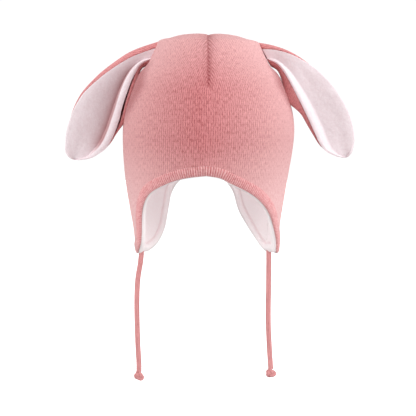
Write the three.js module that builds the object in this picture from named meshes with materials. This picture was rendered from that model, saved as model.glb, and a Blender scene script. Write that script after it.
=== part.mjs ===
// Baby hat with drooping ears, in millimetres: a fine knit outside with a four-seam crown, a fleece lining,
// a ribbed edge band, two lined ears sewn into the side seams, and two knotted tie cords.
// +Z is up and -Y is the face side. The origin is where the top of the head rests under the lining.
import * as THREE from 'three';

// Driving sizes
const hatWidth = 150.4;
const hatDepth = 174;
const faceHeight = 122.3;
const napeHeight = 122.5;
const flapHeight = 193;
const knitWall = 1.9;
const fleeceWall = 2.1;
const layerGap = 0.3;
const bandWidth = 9;
const bandProud = 0.5;
const hemWidth = 6;
const hemRoll = 1.9;
const crownSeams = 4;
const seamDepth = 1.3;
const seamSpread = 3;
const seamReach = 51;
const crownSlump = 1.5;
const skirtSway = 2.2;
const earLength = 120;
const earWidth = 42;
const earLipRise = 5;
const earHeel = 0.3;
const earRootDrop = 6.4;
const earGap = 0.8;
const tieDiameter = 4.6;
const knotWidth = 9.4;
const knotHeight = 7.5;

// Mesh fineness
const hatColumns = 56;
const crownRowShares = [0.05, 0.11, 0.16, 0.205, 0.25, 0.31, 0.39, 0.49, 0.61, 0.74, 0.87, 1];
const earRowCount = 14;
const earColumnCount = 12;
const tieSteps = 36;
const tieSides = 8;
const knotSides = 10;
const seamGather = 0.6;

const wallStack = knitWall + layerGap + fleeceWall;
const fullTurn = 2 * Math.PI;

// Crown and flaps, from the top down: down is a share of flapHeight, wide of half hatWidth,
// front and back of half hatDepth.
const crownSections = [
  { down: 0, wide: 0, front: 0, back: 0 },
  { down: 0.008, wide: 0.346, front: 0.276, back: 0.276 },
  { down: 0.021, wide: 0.466, front: 0.374, back: 0.379 },
  { down: 0.033, wide: 0.58, front: 0.46, back: 0.471 },
  { down: 0.063, wide: 0.62, front: 0.56, back: 0.575 },
  { down: 0.1, wide: 0.663, front: 0.66, back: 0.68 },
  { down: 0.14, wide: 0.716, front: 0.746, back: 0.772 },
  { down: 0.175, wide: 0.8, front: 0.803, back: 0.835 },
  { down: 0.212, wide: 0.854, front: 0.852, back: 0.886 },
  { down: 0.26, wide: 0.901, front: 0.9, back: 0.94 },
  { down: 0.31, wide: 0.946, front: 0.935, back: 0.976 },
  { down: 0.36, wide: 0.98, front: 0.959, back: 0.998 },
  { down: 0.435, wide: 1, front: 0.983, back: 1.012 },
  { down: 0.525, wide: 0.99, front: 0.98, back: 0.998 },
  { down: 0.594, wide: 0.97, front: 0.96, back: 0.954 },
  { down: 0.668, wide: 0.943, front: 0.931, back: 0.897 },
  { down: 0.732, wide: 0.918, front: 0.897, back: 0.839 },
  { down: 0.802, wide: 0.888, front: 0.851, back: 0.782 },
  { down: 0.87, wide: 0.86, front: 0.793, back: 0.713 },
  { down: 0.94, wide: 0.843, front: 0.736, back: 0.644 },
  { down: 1, wide: 0.82, front: 0.678, back: 0.575 },
];

// Lower edge, from the middle of the face round to the middle of the nape. fall is 0 at the top of the
// arch and 1 at the flap's lowest edge; left and right are degrees round the hat from the face.
const faceEdge = [
  { fall: 0, left: 0, right: 0 },
  { fall: 0.03, left: 14.5, right: 9.5 },
  { fall: 0.09, left: 27, right: 16.5 },
  { fall: 0.24, left: 45.5, right: 35.5 },
  { fall: 0.4, left: 54.5, right: 49.5 },
  { fall: 0.55, left: 59.5, right: 60 },
  { fall: 0.7, left: 63, right: 68.5 },
  { fall: 0.86, left: 68, right: 77.5 },
  { fall: 0.97, left: 82, right: 83 },
  { fall: 1, left: 93, right: 95 },
];
const napeEdge = [
  { fall: 1, left: 111.5, right: 115.5 },
  { fall: 0.94, left: 127, right: 126 },
  { fall: 0.85, left: 135.5, right: 133.5 },
  { fall: 0.7, left: 142, right: 142.5 },
  { fall: 0.5, left: 146.5, right: 152 },
  { fall: 0.26, left: 151.5, right: 158 },
  { fall: 0.11, left: 159, right: 165.5 },
  { fall: 0.03, left: 168.5, right: 172 },
  { fall: 0, left: 180, right: 180 },
];

// Ears, from the side seam to the tip. out and down place the middle of a section from the middle of the
// root, as shares of earLength; lean tilts the section, and innerCurl and outerCurl turn the knit round to
// the front along each edge, in degrees. The rest are shares of earWidth: width, how far the section stands
// forward, the belly behind it, the lip of fleece along the inner edge and the valley beside that lip.
const earColumns = [
  'out', 'down', 'lean', 'width', 'forward', 'belly', 'innerCurl', 'outerCurl', 'lip', 'valley',
];
const leftEarRows = [
  [0, 0, -24, 0.537, 0.06, 0.1, 152, 152, 0.02, 0],
  [0.088, 0.037, -4, 0.468, 0.14, 0.16, 144, 152, 0.1, 0.05],
  [0.174, 0.121, 37, 0.591, 0.26, 0.26, 139, 139, 0.18, 0.15],
  [0.28, 0.254, 58, 0.866, 0.31, 0.34, 132, 124, 0.22, 0.24],
  [0.381, 0.407, 61, 1.021, 0.28, 0.36, 115, 110, 0.22, 0.27],
  [0.466, 0.592, 65, 0.956, 0.2, 0.3, 98, 92, 0.2, 0.2],
  [0.518, 0.698, 73, 0.716, 0.14, 0.22, 86, 84, 0.16, 0.09],
  [0.565, 0.765, 77, 0.377, 0.1, 0.16, 78, 76, 0.08, 0.03],
  [0.588, 0.794, 81, 0.14, 0.08, 0.12, 72, 72, 0.02, 0],
];
const rightEarRows = [
  [0, 0, -29, 0.563, 0.06, 0.1, 158, 152, 0.02, 0],
  [0.077, 0.027, -7, 0.513, 0.14, 0.16, 152, 135, 0.1, 0.03],
  [0.155, 0.099, 23, 0.629, 0.26, 0.22, 150, 115, 0.13, 0.06],
  [0.258, 0.207, 44, 0.768, 0.31, 0.26, 140, 92, 0.14, 0.1],
  [0.367, 0.341, 54, 0.86, 0.28, 0.27, 127, 86, 0.15, 0.13],
  [0.463, 0.503, 61, 0.859, 0.2, 0.26, 115, 84, 0.15, 0.13],
  [0.518, 0.628, 67, 0.72, 0.14, 0.22, 98, 82, 0.12, 0.08],
  [0.566, 0.722, 72, 0.42, 0.1, 0.16, 82, 78, 0.06, 0.02],
  [0.592, 0.765, 77, 0.14, 0.08, 0.12, 72, 72, 0.02, 0],
];

// Tie routes, down from where each cord leaves its flap: out from the hat's middle line, back, and down
const leftTieRoute = [[0, 0, 0], [0.2, 0, 2.4], [1, 0.2, 9.5], [2.2, 0.3, 16], [3.2, 0.3, 23], [3.9, 0.2, 34],
  [4.1, 0, 46], [3.9, -0.2, 60], [3.5, -0.4, 74], [2.9, -0.6, 88], [2.3, -0.8, 97], [2.3, -0.9, 105.3]];
const rightTieRoute = [[0, 0, 0], [0, 0, 2.4], [0, 0.2, 10], [-0.1, 0.3, 20], [-0.2, 0.2, 34], [-0.5, 0, 50],
  [-0.4, -0.2, 64], [0.1, -0.4, 76], [0.8, -0.6, 89], [1.4, -0.8, 98], [1.8, -0.9, 104]];
const tieTurns = { left: 102, right: 113 };

const radians = THREE.MathUtils.degToRad;
const mix = THREE.MathUtils.lerp;
const smoothstep = THREE.MathUtils.smoothstep;

// A smooth curve through the rows of a table, giving every named column at a place along it
function tableCurve(rows, keys, columns) {
  const values = rows.flatMap((row) => columns.map((name) => row[name]));
  const spline = new THREE.CubicInterpolant(keys, values, columns.length);
  return (at) => {
    const found = spline.evaluate(at);
    return Object.fromEntries(columns.map((name, i) => [name, found[i]]));
  };
}

// Running length along a list of 2-D places
function runningLength(places) {
  let total = 0;
  return places.map(([x, y], i) => {
    if (i > 0) total += Math.hypot(x - places[i - 1][0], y - places[i - 1][1]);
    return total;
  });
}

// The hat's outer surface: path is the way down its side profile from the top
const crownPaths = runningLength(
  crownSections.map((row) => [row.wide * hatWidth / 2, row.down * flapHeight]),
);
const crownAt = tableCurve(crownSections, crownPaths, ['down', 'wide', 'front', 'back']);
const crownEnd = crownPaths.at(-1);

function pathAtDown(down) {
  let low = 0;
  let high = crownEnd;
  for (let step = 0; step < 40; step += 1) {
    const middle = (low + high) / 2;
    if (crownAt(middle).down * flapHeight < down) low = middle;
    else high = middle;
  }
  return (low + high) / 2;
}

// The crown's right shoulder sits a little lower than its left one
function slump(out, down) {
  const share = down / flapHeight;
  return crownSlump * smoothstep(out, 0, 0.3 * hatWidth) * (1 - smoothstep(share, 0.1, 0.35));
}

// Below the crown the hat hangs a little to the left
function sway(down) {
  const share = down / flapHeight;
  return skirtSway * smoothstep(share, 0.4, 0.72) * (1 - 0.4 * smoothstep(share, 0.8, 1));
}

function plainSurface(turn, path) {
  const row = crownAt(path);
  const deep = Math.cos(turn) > 0 ? row.front : row.back;
  const out = Math.sin(turn) * row.wide * hatWidth / 2;
  const down = row.down * flapHeight;
  return new THREE.Vector3(
    out - sway(down),
    -Math.cos(turn) * deep * hatDepth / 2,
    wallStack - down - slump(out, down),
  );
}

const turnStep = 0.01;
const pathStep = 0.3;

function surfaceSlopes(turn, path) {
  const byTurn = plainSurface(turn + turnStep, path).sub(plainSurface(turn - turnStep, path));
  const low = Math.max(path - pathStep, 0.01);
  const byPath = plainSurface(turn, path + pathStep).sub(plainSurface(turn, low));
  return { byTurn: byTurn.divideScalar(2 * turnStep), byPath: byPath.divideScalar(path + pathStep - low) };
}

function surfaceNormal(turn, path) {
  const { byTurn, byPath } = surfaceSlopes(turn, path);
  return byPath.cross(byTurn).normalize();
}

// The four crown seams pull the knit in along a shallow groove
function seamDent(turn, path) {
  const apart = fullTurn / crownSeams;
  const off = turn - Math.round(turn / apart) * apart;
  const place = plainSurface(turn, path);
  const away = Math.hypot(place.x, place.y) * Math.abs(off);
  const end = pathAtDown(seamReach);
  return seamDepth * Math.exp(-((away / seamSpread) ** 2)) * (1 - smoothstep(path, 0.7 * end, end));
}

// A point of the hat's fabric, depth below its outer face
function hatPoint(turn, path, depth) {
  if (path === 0) return new THREE.Vector3(0, 0, wallStack - seamDepth - depth);
  const inward = depth + seamDent(turn, path);
  return plainSurface(turn, path).addScaledVector(surfaceNormal(turn, path), -inward);
}

// The lower edge as evenly spaced spots, each a turn round the hat and a path down it
function halfEdge(side, count) {
  const turnLength = hatWidth / 2;
  const spots = [
    ...faceEdge.map((row) => [radians(row[side]), mix(faceHeight, flapHeight, row.fall)]),
    ...napeEdge.map((row) => [radians(row[side]), mix(napeHeight, flapHeight, row.fall)]),
  ];
  const points = spots.map(([turn, down]) => new THREE.Vector3(turn * turnLength, down, 0));
  const curve = new THREE.CatmullRomCurve3(points, false, 'centripetal');
  return curve.getSpacedPoints(count).map((point) => ({
    turn: point.x / turnLength,
    path: pathAtDown(Math.min(point.y, flapHeight)),
  }));
}

const rightEdge = halfEdge('right', hatColumns / 2);
const leftEdge = halfEdge('left', hatColumns / 2);
const edgeSpots = [
  ...rightEdge.slice(0, -1),
  ...leftEdge.slice(1).reverse().map(({ turn, path }) => ({ turn: fullTurn - turn, path })),
];

// Moves a closed line of spots up the fabric, square to the line, by a distance
function moveUpFabric(line, distance) {
  const steps = Math.max(1, Math.ceil(distance / 1.5));
  const count = line.length;
  let spots = line;
  for (let step = 0; step < steps; step += 1) {
    const places = spots.map(({ turn, path }) => plainSurface(turn, path));
    spots = spots.map(({ turn, path }, k) => {
      const along = places[(k + 1) % count].clone().sub(places[(k + count - 1) % count]).normalize();
      const way = along.clone().cross(surfaceNormal(turn, path)).multiplyScalar(-distance / steps);
      const { byTurn, byPath } = surfaceSlopes(turn, path);
      const tt = byTurn.dot(byTurn);
      const tp = byTurn.dot(byPath);
      const pp = byPath.dot(byPath);
      const wt = way.dot(byTurn);
      const wp = way.dot(byPath);
      const scale = tt * pp - tp * tp;
      return { turn: turn + (wt * pp - wp * tp) / scale, path: path + (wp * tt - wt * tp) / scale };
    });
  }
  return spots;
}

// Columns start evenly at the top, closer together beside the seams, and end on the spots of a line
function columnStart(column) {
  const even = fullTurn * column / hatColumns;
  return even - seamGather / crownSeams * Math.sin(crownSeams * even);
}

function crownRow(endSpots, share) {
  return endSpots.map(({ turn, path }, column) => ({
    turn: mix(columnStart(column), turn, smoothstep(share, 0.3, 1)),
    path: path * share,
  }));
}

// Two faces for a quad, split along its shorter diagonal, so that parallel layers split alike
function addQuad(positions, faces, a, b, c, d) {
  const length = (from, to) => Math.hypot(
    positions[3 * from] - positions[3 * to],
    positions[3 * from + 1] - positions[3 * to + 1],
    positions[3 * from + 2] - positions[3 * to + 2],
  );
  if (length(a, c) < length(b, d)) faces.push(a, b, c, a, c, d);
  else faces.push(a, b, d, b, c, d);
}

// A closed body from rings of points: ends meet in a point, or the rings run round in a loop
function loft(rings, looped) {
  const positions = [];
  const starts = rings.map((ring) => {
    const start = positions.length / 3;
    ring.forEach((point) => positions.push(point.x, point.y, point.z));
    return start;
  });
  const faces = [];
  const last = looped ? rings.length : rings.length - 1;
  for (let r = 0; r < last; r += 1) {
    const next = (r + 1) % rings.length;
    const here = rings[r].length;
    const there = rings[next].length;
    for (let k = 0; k < Math.max(here, there); k += 1) {
      const a = starts[r] + (k % here);
      const b = starts[r] + ((k + 1) % here);
      const c = starts[next] + (k % there);
      const d = starts[next] + ((k + 1) % there);
      if (here === 1) faces.push(b, d, c);
      else if (there === 1) faces.push(a, b, c);
      else addQuad(positions, faces, a, b, d, c);
    }
  }
  return closedGeometry(positions, faces);
}

// A closed sheet between an outer and an inner grid of points
function sheet(outer, inner) {
  const rows = outer.length;
  const columns = outer[0].length;
  const positions = [outer, inner].flat(2).flatMap((point) => [point.x, point.y, point.z]);
  const at = (layer, row, column) => layer * rows * columns + row * columns + column;
  const faces = [];
  const quad = (...corners) => addQuad(positions, faces, ...corners);
  for (let r = 0; r < rows - 1; r += 1) {
    for (let c = 0; c < columns - 1; c += 1) {
      quad(at(0, r, c), at(0, r, c + 1), at(0, r + 1, c + 1), at(0, r + 1, c));
      quad(at(1, r, c), at(1, r + 1, c), at(1, r + 1, c + 1), at(1, r, c + 1));
    }
    quad(at(0, r, 0), at(0, r + 1, 0), at(1, r + 1, 0), at(1, r, 0));
    quad(at(0, r + 1, columns - 1), at(0, r, columns - 1), at(1, r, columns - 1), at(1, r + 1, columns - 1));
  }
  for (let c = 0; c < columns - 1; c += 1) {
    quad(at(0, 0, c + 1), at(0, 0, c), at(1, 0, c), at(1, 0, c + 1));
    quad(at(0, rows - 1, c), at(0, rows - 1, c + 1), at(1, rows - 1, c + 1), at(1, rows - 1, c));
  }
  return closedGeometry(positions, faces);
}

// Turns the faces out if they point in
function closedGeometry(positions, faces) {
  const corner = (index) => new THREE.Vector3().fromArray(positions, 3 * index);
  let volume = 0;
  for (let f = 0; f < faces.length; f += 3) {
    volume += corner(faces[f]).dot(corner(faces[f + 1]).cross(corner(faces[f + 2])));
  }
  const indices = volume > 0 ? faces : faces.toReversed();
  const geometry = new THREE.BufferGeometry();
  geometry.setAttribute('position', new THREE.Float32BufferAttribute(positions, 3));
  geometry.setIndex(indices);
  geometry.computeVertexNormals();
  return geometry;
}

const hatRing = (spots, depth) => spots.map(({ turn, path }) => hatPoint(turn, path, depth));

// Outer knit, from the top of the crown to the band
function knitShell() {
  const end = moveUpFabric(edgeSpots, bandWidth + layerGap / 2);
  const rows = crownRowShares.map((share) => crownRow(end, share));
  const skin = (depth) => [[hatPoint(0, 0, depth)], ...rows.map((row) => hatRing(row, depth))];
  return loft([...skin(0), ...skin(knitWall).reverse()], false);
}

// Ribbed band round the whole lower edge, a little proud of the knit
function edgeBand() {
  const upper = moveUpFabric(edgeSpots, bandWidth - layerGap / 2);
  const shoulder = moveUpFabric(edgeSpots, bandWidth - 1.5);
  const middle = moveUpFabric(edgeSpots, bandWidth / 2);
  const lower = moveUpFabric(edgeSpots, 1.2);
  return loft([
    hatRing(upper, 0),
    hatRing(shoulder, -bandProud),
    hatRing(middle, -bandProud),
    hatRing(lower, -bandProud),
    hatRing(edgeSpots, 0.3),
    hatRing(edgeSpots, knitWall),
    hatRing(middle, knitWall),
    hatRing(upper, knitWall),
  ], true);
}

// Fleece inside the knit and the band, with a soft hem rolled along its edge
function fleeceLining() {
  const face = knitWall + layerGap;
  const end = moveUpFabric(edgeSpots, bandWidth + layerGap / 2);
  const rows = crownRowShares.map((share) => crownRow(end, share));
  const hemLines = [hemWidth, hemWidth * 0.8, hemWidth * 0.4, hemWidth * 0.1].map((distance) => ({
    spots: moveUpFabric(edgeSpots, distance),
    roll: hemRoll * Math.sqrt(Math.max(0, 1 - (2 * distance / hemWidth - 1) ** 2)),
  }));
  const skin = (depth, rolled) => [
    [hatPoint(0, 0, depth)],
    ...rows.map((row) => hatRing(row, depth)),
    ...hemLines.map(({ spots, roll }) => hatRing(spots, depth + rolled * roll)),
    hatRing(edgeSpots, rolled ? depth - fleeceWall / 3 : depth),
  ];
  return loft([...skin(face, 0), ...skin(wallStack, 1).reverse()], false);
}

// Moves a point of an ear out of the crown, to a distance from it
function clearOfCrown(point, distance) {
  const down = wallStack - point.z;
  if (down <= 0) return point;
  const row = crownAt(pathAtDown(down));
  const wide = row.wide * hatWidth / 2;
  const deep = (point.y < 0 ? row.front : row.back) * hatDepth / 2;
  const reach = Math.hypot(point.x / wide, point.y / deep);
  const wanted = 1 + distance / wide;
  if (reach >= wanted || reach === 0) return point;
  point.x *= wanted / reach;
  point.y *= wanted / reach;
  return point;
}

// One ear: side is -1 for the left of the picture and 1 for the right
function earLayers(rows, side, rootDrop) {
  const sections = rows.map((row) => Object.fromEntries(earColumns.map((name, i) => [name, row[i]])));
  const root = plainSurface(fullTurn / 4, pathAtDown(rootDrop));
  const rootLean = radians(sections[0].lean);
  const rootHalf = sections[0].width * earWidth / 2;
  const rootOut = root.x - Math.sin(rootLean) * rootHalf;
  const rootDown = rootDrop + Math.cos(rootLean) * rootHalf;
  const keys = runningLength(sections.map((row) => [row.out * earLength, row.down * earLength]));
  const sectionAt = tableCurve(sections, keys, earColumns);
  const grids = { knitOuter: [], knitInner: [], fleeceBack: [], fleeceFace: [] };
  for (let r = 0; r < earRowCount; r += 1) {
    const along = r / (earRowCount - 1);
    const row = sectionAt(keys.at(-1) * along);
    const section = earSection(row);
    const stand = smoothstep(along, 0, 0.2);
    const lean = radians(row.lean);
    const place = ([across, ahead], height) => {
      const out = rootOut + row.out * earLength + Math.sin(lean) * across;
      const down = rootDown + row.down * earLength - Math.cos(lean) * across;
      const forward = row.forward * earWidth + ahead;
      const point = new THREE.Vector3(side * out, -forward, wallStack - down);
      return clearOfCrown(point, 2 * layerGap + stand * height);
    };
    grids.knitOuter.push(section.knitOuter.map((spot) => place(spot, 0)));
    grids.knitInner.push(section.knitInner.map((spot) => place(spot, knitWall)));
    grids.fleeceBack.push(section.fleeceBack.map((spot) => place(spot, knitWall + layerGap)));
    grids.fleeceFace.push(section.fleeceFace.map((spot) => place(spot, wallStack)));
  }
  return {
    knit: sheet(grids.knitOuter, grids.knitInner),
    fleece: sheet(grids.fleeceFace, grids.fleeceBack),
  };
}

// Points of one ear section, each as [across, ahead]: inner edge to outer edge
function earSection(row) {
  const half = row.width * earWidth / 2;
  const belly = row.belly * earWidth;
  const rise = Math.min(earLipRise, half / 2);
  const wall = Math.min(knitWall, half / 3);
  const thin = Math.min(fleeceWall, half / 3);
  const outline = (angle, inset) => {
    const deep = Math.cos(angle) > 0 ? (belly - inset) * (1 - earHeel * Math.sin(angle)) : rise - inset / 2;
    return [Math.sin(angle) * (half - inset), -Math.cos(angle) * deep];
  };
  const from = radians(-row.innerCurl);
  const to = radians(row.outerCurl);
  const shares = Array.from({ length: earColumnCount }, (_, i) => i / (earColumnCount - 1));
  const knitOuter = shares.map((share) => outline(mix(from, to, share), 0));
  const knitInner = shares.map((share) => outline(mix(from, to, share), wall));

  // The fleece lies in front of a flat edge of the knit, and beside a curled one
  const fleeceEdge = (angle) => {
    const turned = Math.abs(angle);
    const [across, ahead] = outline(angle, wall / 2);
    const room = mix(0, 2 * layerGap + wall / 2, smoothstep(turned, radians(88), radians(102)));
    const height = mix(thin + 2 * layerGap, 0.2 * thin, smoothstep(turned, radians(106), radians(126)));
    return [across - Math.sign(angle) * room, ahead + height];
  };
  const inner = fleeceEdge(from);
  const outer = fleeceEdge(to);
  const overKnit = (across) => {
    const reach = THREE.MathUtils.clamp(across / (half - wall), -1, 1);
    return earGap + thin - Math.sqrt(1 - reach * reach) * (belly - wall) * (1 - earHeel * reach);
  };
  const span = outer[0] - inner[0];
  const lip = THREE.MathUtils.clamp(row.lip * earWidth / span, 0.08, 0.4);
  const faceShares = [0, lip / 3, 2 * lip / 3, lip, lip + 0.05, lip + 0.11,
    ...[0.2, 0.4, 0.6, 0.8, 0.92, 1].map((share) => mix(lip + 0.11, 1, share))];
  const fleeceFace = faceShares.map((share) => {
    const across = mix(inner[0], outer[0], share);
    const level = mix(inner[1], outer[1], share);
    const ridge = 0.3 * thin * Math.sin(Math.PI * Math.min(share / lip, 1));
    const past = THREE.MathUtils.clamp((share - lip) / (1 - lip), 0, 1);
    const valley = row.valley * earWidth * smoothstep(share, lip - 0.04, lip + 0.13) * (1 - past) ** 1.4;
    return [across, Math.max(level + ridge - valley, overKnit(across))];
  });
  const fleeceBack = fleeceFace.map(([across, ahead]) => [across, ahead - thin]);
  return { knitOuter, knitInner, fleeceFace, fleeceBack };
}

// A tie cord under its flap, and the knot at its end
function tie(side, route, turn) {
  const way = radians(side < 0 ? 360 - turn : turn);
  const start = hatPoint(way, crownEnd, wallStack / 2);
  start.z = hatPoint(way, crownEnd, 0).z - layerGap;
  const points = route.map(([out, back, down]) => new THREE.Vector3(
    start.x + side * out,
    start.y + back,
    start.z - down,
  ));
  const round = new THREE.Shape();
  round.absarc(0, 0, tieDiameter / 2, 0, fullTurn);
  const cord = new THREE.ExtrudeGeometry(round, {
    extrudePath: new THREE.CatmullRomCurve3(points),
    steps: tieSteps,
    curveSegments: tieSides / 2,
    bevelEnabled: false,
  });
  return { cord, end: points.at(-1) };
}

// A pulled-tight knot: a squat ball with a waist between its two wraps
function knot(end) {
  const top = end.z - layerGap;
  const rows = [[0, 0.26], [0.12, 0.66], [0.3, 0.97], [0.45, 0.92], [0.6, 1], [0.8, 0.86], [0.95, 0.5]];
  const profile = [
    new THREE.Vector2(0, -knotHeight),
    ...rows.map(([down, wide]) => new THREE.Vector2(wide * knotWidth / 2, -down * knotHeight)).reverse(),
    new THREE.Vector2(0, 0),
  ];
  const geometry = new THREE.LatheGeometry(profile, knotSides);
  geometry.rotateX(Math.PI / 2);
  geometry.translate(end.x, end.y, top);
  return geometry;
}

const knitPink = new THREE.MeshStandardMaterial({ color: 0xe6a0a3, roughness: 0.9, metalness: 0 });
const bandPink = new THREE.MeshStandardMaterial({ color: 0xdb8c90, roughness: 0.9, metalness: 0 });
const cordPink = new THREE.MeshStandardMaterial({ color: 0xe19c9e, roughness: 0.85, metalness: 0 });
const fleeceWhite = new THREE.MeshStandardMaterial({ color: 0xf1e9ec, roughness: 1, metalness: 0 });

const hat = new THREE.Group();

function addPiece(name, geometry, material) {
  const mesh = new THREE.Mesh(geometry, material);
  mesh.name = name;
  hat.add(mesh);
}

addPiece('knit_shell', knitShell(), knitPink);
addPiece('edge_band', edgeBand(), bandPink);
addPiece('fleece_lining', fleeceLining(), fleeceWhite);

const sides = [
  { name: 'left', side: -1, ear: leftEarRows, rootDrop: earRootDrop, route: leftTieRoute, turn: tieTurns.left },
  {
    name: 'right',
    side: 1,
    ear: rightEarRows,
    rootDrop: earRootDrop + crownSlump,
    route: rightTieRoute,
    turn: tieTurns.right,
  },
];
for (const { name, side, ear: rows, rootDrop, route, turn } of sides) {
  const ear = earLayers(rows, side, rootDrop);
  addPiece(`${name}_ear_knit`, ear.knit, knitPink);
  addPiece(`${name}_ear_fleece`, ear.fleece, fleeceWhite);
  const { cord, end } = tie(side, route, turn);
  addPiece(`${name}_tie`, cord, cordPink);
  addPiece(`${name}_tie_knot`, knot(end), cordPink);
}

export default hat;
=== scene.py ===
# %% [markdown]
# A knitted baby hat with two drooping ears. The real hat is a fine pink knit outside and white fleece inside,
# with a ribbed band sewn round its edge, two lined ears in its side seams and a knotted cord under each flap.
# The solids of the model carry its sizes. This lesson dresses each of them in Blender: it follows the same
# tables of sizes, but with far finer rows, so that every fold, rib and stitch has room.

# %% Load the solids and note their box
import math

import bmesh
import bpy
import numpy as np
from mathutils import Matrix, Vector, noise


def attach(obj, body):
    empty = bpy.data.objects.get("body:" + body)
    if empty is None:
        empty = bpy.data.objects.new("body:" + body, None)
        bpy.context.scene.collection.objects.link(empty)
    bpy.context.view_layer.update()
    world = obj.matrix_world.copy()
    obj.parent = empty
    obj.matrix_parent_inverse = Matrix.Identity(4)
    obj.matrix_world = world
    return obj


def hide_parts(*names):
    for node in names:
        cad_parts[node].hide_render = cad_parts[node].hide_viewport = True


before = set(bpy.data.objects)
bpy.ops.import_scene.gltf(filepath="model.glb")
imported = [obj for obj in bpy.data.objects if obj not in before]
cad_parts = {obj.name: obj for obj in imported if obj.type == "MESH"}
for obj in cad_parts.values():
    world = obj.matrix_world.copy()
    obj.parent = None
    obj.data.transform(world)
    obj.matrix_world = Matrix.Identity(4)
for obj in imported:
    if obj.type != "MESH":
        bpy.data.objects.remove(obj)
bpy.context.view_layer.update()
MM = 0.001
print("solids:", sorted(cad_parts))

# %% [markdown]
# The picture was taken from a little above the middle of the hat with a long lens, so lines hardly converge.
# A camera 1.6 m away whose frame is 366 mm wide at the hat gives the same view.

# %% Camera
AIM = Vector((-0.6, 0, -148.7)) * MM
CAMERA_AWAY = 1.6
CAMERA_RISE = math.radians(2)
FRAME_WIDTH = 0.366
SENSOR = 36

camera_data = bpy.data.cameras.new("camera")
camera_data.sensor_width = SENSOR
camera_data.lens = SENSOR * CAMERA_AWAY / FRAME_WIDTH
camera = bpy.data.objects.new("camera", camera_data)
bpy.context.collection.objects.link(camera)
toward = Vector((0, -math.cos(CAMERA_RISE), math.sin(CAMERA_RISE)))
camera.location = AIM + toward * CAMERA_AWAY
camera.rotation_euler = (-toward).to_track_quat("-Z", "Y").to_euler()
bpy.context.scene.camera = camera
print("lens", round(camera_data.lens, 1), "mm")

# %% [markdown]
# A studio picture on white has no visible floor or wall. Here a wide pale floor lies below the cords and
# glows just enough to be as white as the world behind it.
# Large soft lights stand on both sides, which makes the sides of the crown bright and its middle darker.
# They stand low enough to reach the lining through the face opening, and a very weak lamp inside the crown
# keeps the lining from going dark, as the light that shines through the thin cloth does in the real hat.

# %% Floor and world
FLOOR_DROP = 0.36
FLOOR_REACH = 12
WORLD_SEEN = 1.05
WORLD_FILL = 0.58


def set_inputs(node, **values):
    """Sets a node's sockets by name, written with _ for a space."""
    for label, value in values.items():
        node.inputs[label.replace("_", " ")].default_value = value


floor_mesh = bmesh.new()
bmesh.ops.create_grid(floor_mesh, x_segments=2, y_segments=2, size=FLOOR_REACH)
bmesh.ops.translate(floor_mesh, verts=floor_mesh.verts, vec=(0, 0, -FLOOR_DROP))
floor_data = bpy.data.meshes.new("floor")
floor_mesh.to_mesh(floor_data)
floor_mesh.free()
floor = bpy.data.objects.new("floor", floor_data)
bpy.context.collection.objects.link(floor)
floor_paint = bpy.data.materials.new("pale_floor")
floor_paint.use_nodes = True
set_inputs(
    floor_paint.node_tree.nodes["Principled BSDF"], Base_Color=(0.9, 0.9, 0.9, 1), Roughness=1,
    Emission_Color=(1, 1, 1, 1), Emission_Strength=1,
)
floor_data.materials.append(floor_paint)
floor.visible_diffuse = False
floor.visible_glossy = False

bpy.context.scene.view_settings.view_transform = "Standard"
world = bpy.data.worlds.new("studio")
world.use_nodes = True
bpy.context.scene.world = world
sky = world.node_tree.nodes
sky_links = world.node_tree.links
seen = sky.new("ShaderNodeBackground")
set_inputs(seen, Color=(1, 1, 1, 1), Strength=WORLD_SEEN)
fill = sky["Background"]
set_inputs(fill, Color=(1.0, 0.965, 0.96, 1), Strength=WORLD_FILL)
by_ray = sky.new("ShaderNodeLightPath")
either = sky.new("ShaderNodeMixShader")
sky_links.new(by_ray.outputs["Is Camera Ray"], either.inputs["Fac"])
sky_links.new(fill.outputs[0], either.inputs[1])
sky_links.new(seen.outputs[0], either.inputs[2])
sky_links.new(either.outputs[0], sky["World Output"].inputs["Surface"])
print("floor and world are white")

# %% Soft lights
SOFT_LIGHTS = [
    # name, place in metres, size in metres, power in watts
    ("right_box", (1.2, -0.6, -0.05), 0.9, 13.5),
    ("left_box", (-1.15, -0.65, -0.2), 0.9, 12.5),
    ("top_box", (0.1, -0.3, 1.2), 0.8, 8),
    ("crown_lamp", (0, -0.005, -0.055), 0.06, 0.031),
]


def soft_light(name, place, size, power):
    """A square area light that faces the hat."""
    data = bpy.data.lights.new(name, "AREA")
    data.size = size
    data.energy = power
    light = bpy.data.objects.new(name, data)
    light.location = place
    light.rotation_euler = (AIM - light.location).to_track_quat("-Z", "Y").to_euler()
    light.visible_camera = False
    bpy.context.collection.objects.link(light)


for row in SOFT_LIGHTS:
    soft_light(*row)
print("lights:", [row[0] for row in SOFT_LIGHTS])

# %% [markdown]
# The forms below come from tables of sizes and from a few measured points. These tools are shared: soft steps
# and bells, a smooth curve through a table, and a smooth line through points.

# %% Curves through tables and points
STEPS_TO_A_POINT = 40


def smoothstep(value, low, high):
    """Goes softly from 0 to 1 as the value goes from low to high."""
    share = np.clip((value - low) / (high - low), 0, 1)
    return share * share * (3 - 2 * share)


def bell(value, width):
    """1 where the value is 0, falling softly to nothing a few widths away."""
    return np.exp(-((value / width) ** 2))


def off_zero(angle):
    """How far an angle is from a whole turn, either way."""
    return np.abs((angle + math.pi) % (2 * math.pi) - math.pi)


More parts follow.
